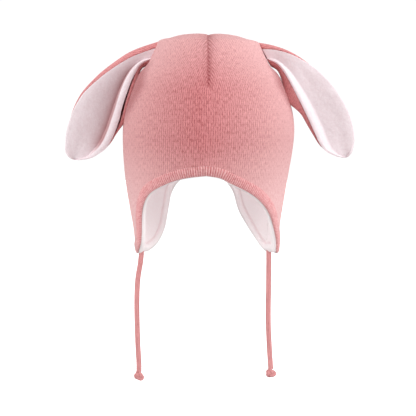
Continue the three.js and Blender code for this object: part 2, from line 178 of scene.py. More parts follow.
def table_curve(keys, rows):
    """A smooth curve through the rows of a table, giving every column at any place along the keys."""
    keys = np.asarray(keys, float)
    rows = np.asarray(rows, float)
    last = len(keys) - 1

    def at(place):
        place = np.clip(np.atleast_1d(np.asarray(place, float)), keys[0], keys[-1])
        after = np.clip(np.searchsorted(keys, place, side="right"), 1, last)
        before = after - 1
        t0, t1 = keys[before], keys[after]
        first, final = before == 0, after == last
        prev = np.where(first, after, before - 1)
        follow = np.where(final, before, np.minimum(after + 1, last))
        t_prev = np.where(first, t1, keys[np.maximum(before - 1, 0)])
        t_next = np.where(final, t0, keys[np.minimum(after + 1, last)])
        w_prev = (t1 - t0) / 2 / (t0 - t_prev)
        w_next = (t1 - t0) / 2 / (t_next - t1)
        p = (place - t0) / (t1 - t0)
        weights = [
            (prev, -w_prev * p**3 + 2 * w_prev * p**2 - w_prev * p),
            (before, (1 + w_prev) * p**3 - (1.5 + 2 * w_prev) * p**2 + (w_prev - 0.5) * p + 1),
            (after, -(1 + w_next) * p**3 + (1.5 + w_next) * p**2 + 0.5 * p),
            (follow, w_next * p**3 - w_next * p**2),
        ]
        return sum(rows[index] * weight[:, None] for index, weight in weights)

    return at


def run_along(points):
    """How far along a line each of its points lies."""
    return np.concatenate([[0], np.cumsum(np.linalg.norm(np.diff(points, axis=0), axis=1))])


def between_rows(place, keys, rows):
    """Rows of a table at places between its keys, in straight steps."""
    return np.column_stack([np.interp(place, keys, column) for column in np.transpose(rows)])


def unit(vectors):
    return vectors / np.maximum(np.linalg.norm(vectors, axis=1), 1e-9)[:, None]


def smooth_line(points, count):
    """Evenly spaced points on a smooth line through the given ones."""
    p = np.asarray(points, float)
    p = np.vstack([2 * p[0] - p[1], p, 2 * p[-1] - p[-2]])
    shares = np.linspace(0, 1, STEPS_TO_A_POINT, endpoint=False)[:, None]
    dense = []
    for a, b, c, d in zip(p, p[1:], p[2:], p[3:]):
        dab, dbc, dcd = (max(np.linalg.norm(v - u), 1e-9) ** 0.5 for u, v in ((a, b), (b, c), (c, d)))
        start = ((b - a) / dab - (c - a) / (dab + dbc) + (c - b) / dbc) * dbc
        end = ((c - b) / dbc - (d - b) / (dbc + dcd) + (d - c) / dcd) * dbc
        cubic = 2 * b - 2 * c + start + end
        square = 3 * c - 3 * b - 2 * start - end
        dense.append(b + start * shares + square * shares**2 + cubic * shares**3)
    dense = np.vstack([*dense, p[-2:-1]])
    length = run_along(dense)
    return between_rows(np.linspace(0, length[-1], count), length, dense)


print("curves ready")

# %% [markdown]
# Every cloth piece here starts as a flat grid whose points are then moved to where the cloth lies, as a
# pattern cut flat is sewn into a form. The grid can carry three things of its own: pattern coordinates for the
# stitches, a mask of painted shade for the seams and creases, and weights where the cloth has to be thinner.
# Once in form, it is merged where its sides meet and its faces are turned outward.

# %% Cloth grids and pieces
def cloth_grid(columns, rows, place, pattern=None, painted_shade_marks=None, thickness=None):
    """A flat grid moved into form. The functions given get each vertex's share across and along."""
    bm = bmesh.new()
    bmesh.ops.create_grid(bm, x_segments=columns, y_segments=rows, size=0.5)
    bm.verts.ensure_lookup_table()
    bm.verts.index_update()
    across = np.array([v.co.x + 0.5 for v in bm.verts])
    along = np.array([v.co.y + 0.5 for v in bm.verts])
    if pattern is not None:
        layer = bm.loops.layers.uv.new("stitches")
        for face in bm.faces:
            index = [loop.vert.index for loop in face.loops]
            spots = pattern(across[index], along[index])
            for loop, spot in zip(face.loops, spots):
                loop[layer].uv = spot
    if painted_shade_marks is not None:
        mask = bm.verts.layers.float.new("painted_shade_marks")
        for vert, amount in zip(bm.verts, painted_shade_marks(across, along)):
            vert[mask] = float(amount)
    if thickness is not None:
        weights = bm.verts.layers.deform.verify()
        for vert, share in zip(bm.verts, thickness(across, along)):
            vert[weights][0] = float(share)
    for vert, spot in zip(bm.verts, place(across, along)):
        vert.co = spot * MM
    return bm


def sew_up(bm, outward=None, merge=1e-6, cap_ends=False):
    """Merges a grid's sides where they meet. The faces of a closed form turn out, and those of an open cloth
    turn to the side that outward gives for a face's middle."""
    bmesh.ops.remove_doubles(bm, verts=bm.verts, dist=merge)
    if cap_ends:
        bmesh.ops.holes_fill(bm, edges=[edge for edge in bm.edges if edge.is_boundary], sides=0)
    if outward is None:
        bmesh.ops.recalc_face_normals(bm, faces=bm.faces)
        return
    bm.normal_update()
    agree = sum(face.normal.dot(outward(face.calc_center_median())) * face.calc_area() for face in bm.faces)
    if agree < 0:
        bmesh.ops.reverse_faces(bm, faces=bm.faces)


def finish_piece(name, bm, material, node):
    """Makes the object of a finished bmesh, in the place of the solid that it dresses."""
    data = bpy.data.meshes.new(name)
    bm.to_mesh(data)
    bm.free()
    data.materials.append(material)
    data.shade_smooth()
    piece = bpy.data.objects.new(name, data)
    bpy.context.collection.objects.link(piece)
    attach(piece, "root")
    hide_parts(node)
    return piece


def thicken(piece, wall, weights=""):
    """Gives an open cloth its thickness in millimetres, inward from its face."""
    layers = piece.modifiers.new("solidify", "SOLIDIFY")
    layers.thickness = wall * MM
    layers.offset = -1
    layers.vertex_group = weights


print("cloth tools ready")

# %% [markdown]
# All the colours of the hat are pinks and whites. Each cloth has a lit colour and a deeper one, which paints
# shade into the hollows between its stitches or tufts and also gives the yarn its uneven tone, and, where shade
# falls in its creases, one more colour of painted shade for these. Cloth is matte, and stray fibres give it a
# soft sheen at its rims. A few small functions keep the nodes of the materials readable.

# %% Node helpers
COLOUR_MIX_INPUTS = (0, 6, 7)
COLOUR_MIX_RESULT = 2


def linear(red, green, blue):
    """A colour as seen on a screen, 0 to 255, as the light that shaders work with."""
    return tuple((channel / 255) ** 2.2 for channel in (red, green, blue)) + (1,)


def feed(tree, socket, value):
    """Gives a socket a number or a colour, or links another node's output to it."""
    if isinstance(value, (int, float, tuple)):
        socket.default_value = value
    else:
        tree.links.new(value, socket)


def calc(tree, operation, *values):
    """One Math node. Each value is a number or another node's output."""
    step = tree.nodes.new("ShaderNodeMath")
    step.operation = operation
    for socket, value in zip(step.inputs, values):
        feed(tree, socket, value)
    return step.outputs[0]


def sums_in(tree):
    """A shorter calc for one tree: do("ADD", first, second)."""
    return lambda operation, *values: calc(tree, operation, *values)


def blend_colours(tree, mask, first, second):
    """Goes from the first colour to the second as the mask goes from 0 to 1."""
    mixer = tree.nodes.new("ShaderNodeMix")
    mixer.data_type = "RGBA"
    for index, value in zip(COLOUR_MIX_INPUTS, (mask, first, second)):
        feed(tree, mixer.inputs[index], value)
    return mixer.outputs[COLOUR_MIX_RESULT]


def speckle(tree, scale, detail=2.0, roughness=0.5):
    """Noise over the object's own coordinates, from 0 to 1."""
    place = tree.nodes.new("ShaderNodeTexCoord")
    grain = tree.nodes.new("ShaderNodeTexNoise")
    set_inputs(grain, Scale=scale, Detail=detail, Roughness=roughness)
    tree.links.new(place.outputs["Object"], grain.inputs["Vector"])
    return grain.outputs["Fac"]


def new_group(name, inputs, outputs, kind="NodeSocketFloat"):
    """A shader node group with named sockets. Returns the tree, its inputs and its output node."""
    tree = bpy.data.node_groups.new(name, "ShaderNodeTree")
    for in_out, labels in (("INPUT", inputs), ("OUTPUT", outputs)):
        for label in labels:
            tree.interface.new_socket(label, in_out=in_out, socket_type=kind)
    return tree, tree.nodes.new("NodeGroupInput").outputs, tree.nodes.new("NodeGroupOutput")


def use_group(tree, group, **values):
    """Places a group in a material, with numbers or links on its inputs."""
    placed = tree.nodes.new("ShaderNodeGroup")
    placed.node_tree = group
    for label, value in values.items():
        feed(tree, placed.inputs[label.replace("_", " ")], value)
    return placed.outputs


def pattern_axes(tree):
    """The cloth's own pattern coordinates: wales across, then courses along."""
    spot = tree.nodes.new("ShaderNodeUVMap")
    spot.uv_map = "stitches"
    split = tree.nodes.new("ShaderNodeSeparateXYZ")
    tree.links.new(spot.outputs[0], split.inputs[0])
    return split.outputs[0], split.outputs[1]


def cloth_material(name, colour, height, bump, bump_distance, sheen, roughness=0.9):
    """A matte yarn or pile: colour, relief and the soft light that stray fibres catch."""
    material = bpy.data.materials.new(name)
    material.use_nodes = True
    tree = material.node_tree
    shader = tree.nodes["Principled BSDF"]
    set_inputs(
        shader, Roughness=roughness, Specular_IOR_Level=0.2, Sheen_Weight=sheen,
        Sheen_Roughness=0.55, Sheen_Tint=(1, 0.93, 0.93, 1),
    )
    tree.links.new(colour(tree), shader.inputs["Base Color"])
    relief = tree.nodes.new("ShaderNodeBump")
    set_inputs(relief, Strength=bump, Distance=bump_distance)
    tree.links.new(height(tree), relief.inputs["Height"])
    tree.links.new(relief.outputs["Normal"], shader.inputs["Normal"])
    return material


# %% Colours of yarn and fleece
# The deeper colours are painted shade in the hollows of the stitches, ribs and pile, mixed with the yarn's
# uneven tone.
YARN_LIT = linear(218, 139, 141)
YARN_DARK_AND_SHADE = linear(156, 66, 70)
# Painted light: paler yarn for where the soft lights fall on the crown's sides, top and flaps.
YARN_PAINTED_LIGHT = linear(255, 212, 211)
YARN_PAINTED_LIGHT_SHADE = linear(234, 168, 170)
# Painted shade for the seams' stitches, the band's top seam and the ears' shadow on the crown.
YARN_PAINTED_SHADE = linear(142, 20, 34)
RIB_LIT = linear(255, 205, 205)
RIB_DARK_AND_SHADE = linear(216, 126, 129)
EAR_LIT = linear(242, 162, 163)
EAR_DARK_AND_SHADE = linear(180, 86, 90)
CORD_LIT = linear(232, 160, 160)
CORD_DARK_AND_SHADE = linear(176, 92, 94)
FLEECE_LIT = linear(245, 235, 239)
FLEECE_DARK_AND_SHADE = linear(233, 217, 222)
# Painted shade for the fold beside the left ear's lip, where the lip's shadow falls.
FLEECE_PAINTED_SHADE = linear(146, 22, 22)
LINING_LIT = linear(254, 249, 250)
LINING_DARK_AND_SHADE = linear(250, 240, 241)
# Painted shade for the groove above the lining's hem.
LINING_PAINTED_SHADE = linear(212, 158, 162)
print("yarn, lit:", [round(channel, 3) for channel in YARN_LIT[:3]])

# %% [markdown]
# In stocking stitch every loop shows as a small V, and the Vs stack into upright wales. The group below draws
# them from the cloth's own pattern coordinates, in which one unit across is one wale and one unit along is one
# course. It gives a height for the relief and a mask that paints shade into the creases between the two legs of
# each V.
# A shallow groove between each two wales keeps the wales apart when single stitches are too small to see.

# %% Stocking stitch
STITCH_LEAN = 0.7
WALE_GROOVE = 0.55

stitch_group, stitch_in, stitch_out = new_group("stocking_stitch", ["Lean"], ["Height", "Crease"])
do = sums_in(stitch_group)
over_wale, over_course = pattern_axes(stitch_group)
from_middle = do("ABSOLUTE", do("MULTIPLY_ADD", do("FRACT", over_wale), 2.0, -1.0))
leg = do("SINE", do("MULTIPLY", from_middle, math.pi))
lifted = do("ADD", over_course, do("MULTIPLY", from_middle, stitch_in[0]))
loop_round = do("SINE", do("MULTIPLY", do("FRACT", lifted), math.pi))
loop_height = do("MULTIPLY", do("POWER", leg, 0.6), do("MULTIPLY_ADD", loop_round, 0.3, 0.7))
between_wales = do("MULTIPLY_ADD", do("POWER", from_middle, 2.0), -WALE_GROOVE, 0.18)
stitch_height = do("ADD", loop_height, between_wales)
stitch_group.links.new(stitch_height, stitch_out.inputs["Height"])
# The crease mask is painted shade: the lower a spot of the stitch, the darker its colour.
stitch_group.links.new(do("SUBTRACT", 1.0, stitch_height), stitch_out.inputs["Crease"])
print("group:", stitch_group.name)

# %% [markdown]
# Three more effects are shared. Yarn is never even, so short streaks narrower than a wale run along the wales,
# with a fine grain over them. A piece also carries painted shade for its seams and folds on its own vertices,
# as a mask from 0 to 1 that turns its colour to a deeper one. The crown's knit gets painted light over the
# sides, the top and the flaps, where the soft lights make it paler.

# %% Uneven yarn, painted shade and painted light
STREAKS_TO_A_WALE = 2.5
STREAKS_TO_A_COURSE = 0.5
YARN_GRAIN = {"scale": 620, "detail": 2, "roughness": 0.7}

uneven_group, uneven_in, uneven_out = new_group("uneven_yarn", ["Mottle"], ["Shade"])
streak_place = uneven_group.nodes.new("ShaderNodeUVMap")
streak_place.uv_map = "stitches"
streak_size = uneven_group.nodes.new("ShaderNodeVectorMath")
streak_size.operation = "MULTIPLY"
streak_size.inputs[1].default_value = (STREAKS_TO_A_WALE, STREAKS_TO_A_COURSE, 0)
streaks = uneven_group.nodes.new("ShaderNodeTexNoise")
set_inputs(streaks, Scale=1, Detail=1)
uneven_group.links.new(streak_place.outputs[0], streak_size.inputs[0])
uneven_group.links.new(streak_size.outputs[0], streaks.inputs["Vector"])
do = sums_in(uneven_group)
grains = do("MULTIPLY_ADD", speckle(uneven_group, **YARN_GRAIN), 0.4, -0.7)
uneven = do("MULTIPLY", do("ADD", streaks.outputs["Fac"], grains), uneven_in[0])
uneven_group.links.new(uneven, uneven_out.inputs["Shade"])

# The mask on a piece's vertices turns its colour to a colour of painted shade.
painted_shade_group, shade_group_in, shade_group_out = new_group(
    "painted_shade_cloth", ["Cloth", "Crease"], ["Colour"], "NodeSocketColor"
)
painted_shade_attribute = painted_shade_group.nodes.new("ShaderNodeAttribute")
painted_shade_attribute.attribute_name = "painted_shade_marks"
painted_shade_group.links.new(
    blend_colours(painted_shade_group, painted_shade_attribute.outputs["Fac"], shade_group_in[0], shade_group_in[1]),
    shade_group_out.inputs["Colour"],
)

# Painted light: the knit turns paler away from the middle of the face, towards the top and down the flaps.
painted_light_group, _, stretch_out = new_group("painted_light_on_knit", [], ["Pale"])
hat_place = painted_light_group.nodes.new("ShaderNodeTexCoord")
hat_split = painted_light_group.nodes.new("ShaderNodeSeparateXYZ")
painted_light_group.links.new(hat_place.outputs["Object"], hat_split.inputs[0])
do = sums_in(painted_light_group)
off_middle = do("ABSOLUTE", do("MULTIPLY_ADD", hat_split.outputs[0], 14.0, 0.11))
pale = do("MULTIPLY", do("POWER", off_middle, 1.2), 0.5)
for slope, begin in ((8.0, 0.38), (-10.0, -0.92)):
    far = do("MULTIPLY_ADD", hat_split.outputs[2], slope, begin)
    far.node.use_clamp = True
    pale = do("ADD", pale, far)
pale.node.use_clamp = True
painted_light_group.links.new(pale, stretch_out.inputs["Pale"])
print("groups:", uneven_group.name, painted_shade_group.name, painted_light_group.name)


# %% Knit, rib and cord
def finished_yarn(tree, mask, lit, deep, with_painted_light=True):
    """The yarn's colour by its mask, with painted light on the crown's sides, top and flaps, and painted shade
    in its seams and under the ears.
    """
    mask.node.use_clamp = True
    if with_painted_light:
        sides = use_group(tree, painted_light_group)["Pale"]
        lit = blend_colours(tree, sides, lit, YARN_PAINTED_LIGHT)
        deep = blend_colours(tree, sides, deep, YARN_PAINTED_LIGHT_SHADE)
    yarn = blend_colours(tree, mask, lit, deep)
    return use_group(tree, painted_shade_group, Cloth=yarn, Crease=YARN_PAINTED_SHADE)["Colour"]


def knit_colour(lit, deep, painted_shade_share, mottle, with_painted_light=True):
    """Colour of a stocking stitch, with this share of painted shade between its legs and this much mottle."""
    def colour(tree):
        stitches = use_group(tree, stitch_group, Lean=STITCH_LEAN)
        shade = calc(tree, "MULTIPLY_ADD", stitches["Crease"], painted_shade_share, -0.06)
        uneven = use_group(tree, uneven_group, Mottle=mottle)["Shade"]
        return finished_yarn(tree, calc(tree, "ADD", shade, uneven), lit, deep, with_painted_light)

    return colour


def knit_height(tree):
    stitches = use_group(tree, stitch_group, Lean=STITCH_LEAN)
    fibres = calc(tree, "MULTIPLY", speckle(tree, 700), 0.5)
    return calc(tree, "ADD", stitches["Height"], fibres)


def rib_colour(tree):
    """Ribs: pale crests and painted shade in the valleys, one of each to a unit of the band's own pattern."""
    do = sums_in(tree)
    wave = do("COSINE", do("MULTIPLY", pattern_axes(tree)[0], 2 * math.pi))
    valley = do("MULTIPLY_ADD", wave, -0.35, 0.55)
    grain = do("MULTIPLY_ADD", speckle(tree, **YARN_GRAIN), 1.6, -0.8)
    return finished_yarn(tree, do("ADD", valley, grain), RIB_LIT, RIB_DARK_AND_SHADE, False)


pink_knit = cloth_material(
    "pink_knit", knit_colour(YARN_LIT, YARN_DARK_AND_SHADE, 1.2, 2.5), knit_height, 0.5, 0.0010, 0.3
)
ear_knit = cloth_material(
    "ear_knit", knit_colour(EAR_LIT, EAR_DARK_AND_SHADE, 0.9, 1.6, False), knit_height, 0.5, 0.0010, 0.2
)
pink_rib = cloth_material("pink_rib", rib_colour, knit_height, 0.5, 0.0008, 0.25)
pink_cord = cloth_material(
    "pink_cord", knit_colour(CORD_LIT, CORD_DARK_AND_SHADE, 0.5, 0.9, False), knit_height, 0.6, 0.0007, 0.25
)
print("yarn materials:", [made.name for made in (pink_knit, ear_knit, pink_rib, pink_cord)])

# %% [markdown]
# Fleece is a knitted backing brushed into a dense short pile. Seen closely it is matte and slightly clumped,
# with painted shade in its hollows between the paler tips. Two sizes of noise do that in colour and in relief.

# %% Fleece
PILE_CLUMP = 0.0022

pile_group, pile_in, pile_out = new_group("short_pile", ["Clump size"], ["Height"])
pile_place = pile_group.nodes.new("ShaderNodeTexCoord")
pile_heights = []
for finer, share in ((1.0, 0.6), (2.6, 0.4)):
    clumps = pile_group.nodes.new("ShaderNodeTexNoise")
    set_inputs(clumps, Detail=3)
    pile_group.links.new(pile_place.outputs["Object"], clumps.inputs["Vector"])
    pile_group.links.new(calc(pile_group, "DIVIDE", finer, pile_in[0]), clumps.inputs["Scale"])
    pile_heights.append(calc(pile_group, "MULTIPLY", clumps.outputs["Fac"], share))
pile_group.links.new(calc(pile_group, "ADD", *pile_heights), pile_out.inputs["Height"])


def fleece_material(name, lit, deep, crease):
    """Fleece with pale tips, painted shade in its hollows, and this colour of painted shade in its creases."""
    def colour(tree):
        pile = use_group(tree, pile_group, Clump_size=PILE_CLUMP)
        mask = calc(tree, "MULTIPLY_ADD", pile["Height"], -2.2, 1.45)
        mask.node.use_clamp = True
        pile_colour = blend_colours(tree, mask, lit, deep)
        return use_group(tree, painted_shade_group, Cloth=pile_colour, Crease=crease)["Colour"]

    def height(tree):
        return use_group(tree, pile_group, Clump_size=PILE_CLUMP)["Height"]

    return cloth_material(name, colour, height, 0.35, 0.0008, 0.6, 1.0)


ear_fleece = fleece_material("ear_fleece", FLEECE_LIT, FLEECE_DARK_AND_SHADE, FLEECE_PAINTED_SHADE)
lining_fleece = fleece_material("lining_fleece", LINING_LIT, LINING_DARK_AND_SHADE, LINING_PAINTED_SHADE)
print("fleece materials:", ear_fleece.name, lining_fleece.name)

# %% [markdown]
# The hat's surface is described the way a knitter measures it: how far down from the top, how wide and how
# deep at each height, and where the lower edge runs as it goes round. These tables are the solids' own. Later
# cells name a place on the hat by its turn, the angle round from the face, and its path, the way down the side.

# %% Sizes of the hat
HAT_WIDTH = 150.4
HAT_DEPTH = 174
FACE_HEIGHT = 122.3
NAPE_HEIGHT = 122.5
FLAP_HEIGHT = 193
KNIT_WALL = 1.9
FLEECE_WALL = 2.1
LAYER_GAP = 0.3
WALL_STACK = KNIT_WALL + LAYER_GAP + FLEECE_WALL
BAND_WIDTH = 9
HEM_WIDTH = 6
HEM_ROLL = 1.9
SEAM_REACH = 51
CROWN_SLUMP = 1.5
SKIRT_SWAY = 2.2
QUARTER = math.pi / 2

FALL, WIDE, FRONT, BACK = range(4)
# Down from the top as a share of FLAP_HEIGHT, then half width, front and back depth as shares of theirs
CROWN_SECTIONS = [
    (0, 0, 0, 0),
    (0.008, 0.346, 0.276, 0.276),
    (0.021, 0.466, 0.374, 0.379),
    (0.033, 0.58, 0.46, 0.471),
    (0.063, 0.62, 0.56, 0.575),
    (0.1, 0.663, 0.66, 0.68),
    (0.14, 0.716, 0.746, 0.772),
    (0.175, 0.8, 0.803, 0.835),
    (0.212, 0.854, 0.852, 0.886),
    (0.26, 0.901, 0.9, 0.94),
    (0.31, 0.946, 0.935, 0.976),
    (0.36, 0.98, 0.959, 0.998),
    (0.435, 1, 0.983, 1.012),
    (0.525, 0.99, 0.98, 0.998),
    (0.594, 0.97, 0.96, 0.954),
    (0.668, 0.943, 0.931, 0.897),
    (0.732, 0.918, 0.897, 0.839),
    (0.802, 0.888, 0.851, 0.782),
    (0.87, 0.86, 0.793, 0.713),
    (0.94, 0.843, 0.736, 0.644),
    (1, 0.82, 0.678, 0.575),
]

# Fall from the top of the arch to the flap's tip, then degrees round from the face on the left and right
FACE_EDGE = [
    (0, 0, 0),
    (0.03, 14.5, 9.5),
    (0.09, 27, 16.5),
    (0.24, 45.5, 35.5),
    (0.4, 54.5, 49.5),
    (0.55, 59.5, 60),
    (0.7, 63, 68.5),
    (0.86, 68, 77.5),
    (0.97, 82, 83),
    (1, 93, 95),
]
NAPE_EDGE = [
    (1, 111.5, 115.5),
    (0.94, 127, 126),
    (0.85, 135.5, 133.5),
    (0.7, 142, 142.5),
    (0.5, 146.5, 152),
    (0.26, 151.5, 158),
    (0.11, 159, 165.5),
    (0.03, 168.5, 172),
    (0, 180, 180),
]
sections = np.array(CROWN_SECTIONS)
profile = sections[:, : WIDE + 1] * (FLAP_HEIGHT, HAT_WIDTH / 2)
crown_paths = run_along(profile)
crown_at = table_curve(crown_paths, sections)
CROWN_END = crown_paths[-1]
fine_paths = np.linspace(0, CROWN_END, 4000)
fine_downs = crown_at(fine_paths)[:, FALL] * FLAP_HEIGHT
print("path down the side:", round(CROWN_END, 1), "mm")

# %% The hat's surface
def path_at_down(down):
    """How far down the side a height is, both in millimetres from the top."""
    return np.interp(down, fine_downs, fine_paths)


SEAM_END = float(path_at_down(SEAM_REACH))


def plain_surface(turn, path):
    """Points of the knit's face, without seams, with the crown's slump and the skirt's sway."""
    row = crown_at(path)
    share = row[:, FALL]
    deep = np.where(np.cos(turn) > 0, row[:, FRONT], row[:, BACK])
    out = np.sin(turn) * row[:, WIDE] * HAT_WIDTH / 2
    slump = CROWN_SLUMP * smoothstep(out, 0, 0.3 * HAT_WIDTH) * (1 - smoothstep(share, 0.1, 0.35))
    sway = SKIRT_SWAY * smoothstep(share, 0.4, 0.72) * (1 - 0.4 * smoothstep(share, 0.8, 1))
    back = -np.cos(turn) * deep * HAT_DEPTH / 2
    return np.column_stack([out - sway, back, WALL_STACK - share * FLAP_HEIGHT - slump])


def surface_slopes(turn, path):
    """How the surface moves for each unit of turn and of path."""
    by_turn = (plain_surface(turn + 0.01, path) - plain_surface(turn - 0.01, path)) / 0.02
    low = np.maximum(path - 0.3, 0.01)
    by_path = (plain_surface(turn, path + 0.3) - plain_surface(turn, low)) / (path + 0.3 - low)[:, None]
    return by_turn, by_path


def surface_normal(turn, path):
    by_turn, by_path = surface_slopes(turn, path)
    return unit(np.cross(by_path, by_turn))


def under_surface(turn, path, depth):
    """Points this deep below the knit's face, square to it."""
    return plain_surface(turn, path) - surface_normal(turn, path) * depth[:, None]


print("surface at the side:", plain_surface(np.array([QUARTER]), np.array([100.0])).round(1)[0])


# %% The lower edge
ARCH_SAG = 1.2
EDGE_STEP = 1.5
EDGE_SPOTS = 1200
EDGE_COLUMNS = 1024


def half_edge(side):
    """The lower edge from the face round to the nape: turn and path, closely spaced."""
    spots = [
        (math.radians(row[side]) * HAT_WIDTH / 2, top + (FLAP_HEIGHT - top) * row[0])
        for top, table in ((FACE_HEIGHT, FACE_EDGE), (NAPE_HEIGHT, NAPE_EDGE))
        for row in table
    ]
    line = smooth_line(spots, EDGE_SPOTS)
    return np.column_stack([line[:, 0] / (HAT_WIDTH / 2), path_at_down(np.minimum(line[:, 1], FLAP_HEIGHT))])


right_edge, left_edge = half_edge(2), half_edge(1)
around = left_edge[1:-1][::-1] * (-1, 1) + (2 * math.pi, 0)
whole_edge = np.vstack([right_edge, around, right_edge[:1] + (2 * math.pi, 0)])
edge_run = run_along(plain_surface(whole_edge[:, 0], whole_edge[:, 1]))
EDGE_LENGTH = edge_run[-1]
print("lower edge:", round(EDGE_LENGTH), "mm round")


def edge_spots(count):
    """Evenly spaced spots of the lower edge, one for each column, with the first again at the end."""
    return between_rows(np.linspace(0, EDGE_LENGTH, count + 1), edge_run, whole_edge)


def sagging_edge(count):
    """The lower edge as its knit relaxes: a little lower over the face, as drawn by the solid elsewhere."""
    line = edge_spots(count)
    line[:, 1] += ARCH_SAG * (1 - smoothstep(np.degrees(off_zero(line[:, 0])), 30, 58))
    return line


def move_up_fabric(line, distance):
    """Moves a closed line of spots up the cloth, square to the line."""
    steps = max(1, math.ceil(distance / EDGE_STEP))
    turn, path = line[:-1, 0].copy(), line[:-1, 1].copy()
    for _ in range(steps):
        here = plain_surface(turn, path)
        reach = max(1, len(turn) // 120)
        along = unit(np.roll(here, -reach, axis=0) - np.roll(here, reach, axis=0))
        way = np.cross(along, surface_normal(turn, path)) * (-distance / steps)
        by_turn, by_path = surface_slopes(turn, path)
        tt, tp, pp = ((a * b).sum(1) for a, b in ((by_turn, by_turn), (by_turn, by_path), (by_path, by_path)))
        wt, wp = (way * by_turn).sum(1), (way * by_path).sum(1)
        scale = tt * pp - tp * tp
        turn = turn + (wt * pp - wp * tp) / scale
        path = path + (wp * tt - wt * tp) / scale
    moved = np.column_stack([turn, path])
    return np.vstack([moved, moved[:1] + (2 * math.pi, 0)])


# %% [markdown]
# Four seams run from the top of the crown about a quarter of the way down: at the front, at the back and at
# both sides, the side seams only as far as the ears. Each pulls the knit in. Its stitches show as a zigzag of
# dark dashes of painted shade with slanted strokes beside it, where the wales of two panels meet. Below the
# front seam a short crease runs on to one side.

# %% Crown seams
SEAM_STITCH = 4.1
STROKE_SLANT = 1.3
SEAM_PULL = 0.8
SEAM_GROOVE = 0.5
STITCH_RELIEF = 0.7
CREASE_DEPTH = 0.8
CREASE_SLANT = 0.75
FRONT_RADIUS = 70


def seam_distance(turn, path):
    """How far a spot lies from the nearest crown seam, with a sign, in millimetres."""
    off = turn - np.round(turn / QUARTER) * QUARTER
    place = plain_surface(turn, path)
    return np.hypot(place[:, 0], place[:, 1]) * off


def sewn_side(turn, path):
    """1 on the front and back seams, and on the side seams down to where the ears are sewn in."""
    return 1 - smoothstep(np.abs(np.sin(turn)), 0.9, 0.97) * smoothstep(path, 34, 42)


def seam_fade(turn, path, low, high):
    """1 along the seams, going to 0 between two shares of their length."""
    return (1 - smoothstep(path, low * SEAM_END, high * SEAM_END)) * sewn_side(turn, path)


def seam_stitches(turn, path):
    """The seam's stitches, from 0 to 1, for their relief and their painted shade: dark dashes in a zigzag, and
    slanted strokes on both sides.
    """
    away = seam_distance(turn, path)
    phase = 2 * math.pi * path / SEAM_STITCH
    zigzag = (0.68 + 0.32 * np.cos(phase)) * bell(away - np.sin(phase), 0.95)
    slant = 0.5 + 0.5 * np.cos(phase - 2 * math.pi * STROKE_SLANT * np.abs(away) / SEAM_STITCH)
    strokes = 0.6 * slant * smoothstep(path, 8, 20) * bell(away, 5.5)
    return seam_fade(turn, path, 0.93, 1.02) * np.maximum(zigzag, strokes)


def crown_relief(turn, path):
    """How far the seams and the crease below the front seam pull the knit in."""
    away = seam_distance(turn, path)
    pull = seam_fade(turn, path, 0.8, 1.05) * (SEAM_PULL * bell(away, 5.5) + SEAM_GROOVE * bell(away, 1.6))
    pull = pull + STITCH_RELIEF * seam_stitches(turn, path)
    x = off_zero(turn) * FRONT_RADIUS * np.where(turn < math.pi, 1, -1)
    y = path - 0.97 * SEAM_END
    on_line = smoothstep(y, -3, 1) * (1 - smoothstep(y, 4, 12))
    return pull + CREASE_DEPTH * on_line * bell(np.abs(x - CREASE_SLANT * y), 1.9)


def hat_point(turn, path):
    """Points of the knit's face with its seams, meeting in one at the top."""
    place = under_surface(turn, path, crown_relief(turn, path))
    place[path < 0.01] = (0, 0, WALL_STACK - SEAM_PULL - SEAM_GROOVE)
    return place


print("deepest seam:", crown_relief(np.zeros(50), np.linspace(1, SEAM_END, 50)).max().round(1), "mm")

# %% [markdown]
# Each tie is a limp knitted cord whose two rows of stitches leave a groove between them that wanders slowly
# round it. A round tube pinched along that groove, with a ripple for each stitch, looks like it from any side.
# The cords start between the layers of the flaps, where they are sewn in, and end in a knot. Each follows the
# same few points as its solid, with a short tail above them.

# %% Tie cords
TIE_DIAMETER = 4.6
KNOT_WIDTH = 10.2
KNOT_HEIGHT = 8.4
TIE_TAIL = 2.6
TIE_TURNS = {"left": 102, "right": 113}
TIE_POINTS = 40
CORD_STITCH = 2.1
CORD_LENGTH = 105
KNOT_STRAND = 1.95
TIE_GRID = (32, 200)
KNOT_GRID = (14, 110)
TIE_ROUTES = {
    "left": [(0, 0, 0), (0.2, 0, 2.4), (1, 0.2, 9.5), (2.2, 0.3, 16), (3.2, 0.3, 23), (3.9, 0.2, 34),
             (4.1, 0, 46), (3.9, -0.2, 60), (3.5, -0.4, 74), (2.9, -0.6, 88), (2.3, -0.8, 97),
             (2.3, -0.9, 105.3)],
    "right": [(0, 0, 0), (0, 0, 2.4), (0, 0.2, 10), (-0.1, 0.3, 20), (-0.2, 0.2, 34), (-0.5, 0, 50),
              (-0.4, -0.2, 64), (0.1, -0.4, 76), (0.8, -0.6, 89), (1.4, -0.8, 98), (1.8, -0.9, 104)],
}


def tie_points(name, side):
    """The cord's middle line, in millimetres."""
    way = math.radians(TIE_TURNS[name] if side > 0 else 360 - TIE_TURNS[name])
    turn, path = np.array([way]), np.array([CROWN_END])
    inner = under_surface(turn, path, np.array([WALL_STACK / 2]))[0]
    top = plain_surface(turn, path)[0, 2] - LAYER_GAP
    points = [(inner[0] + side * out, inner[1] + back, top - down) for out, back, down in TIE_ROUTES[name]]
    points.insert(0, (points[0][0], points[0][1], points[0][2] + TIE_TAIL))
    return smooth_line(points, TIE_POINTS)


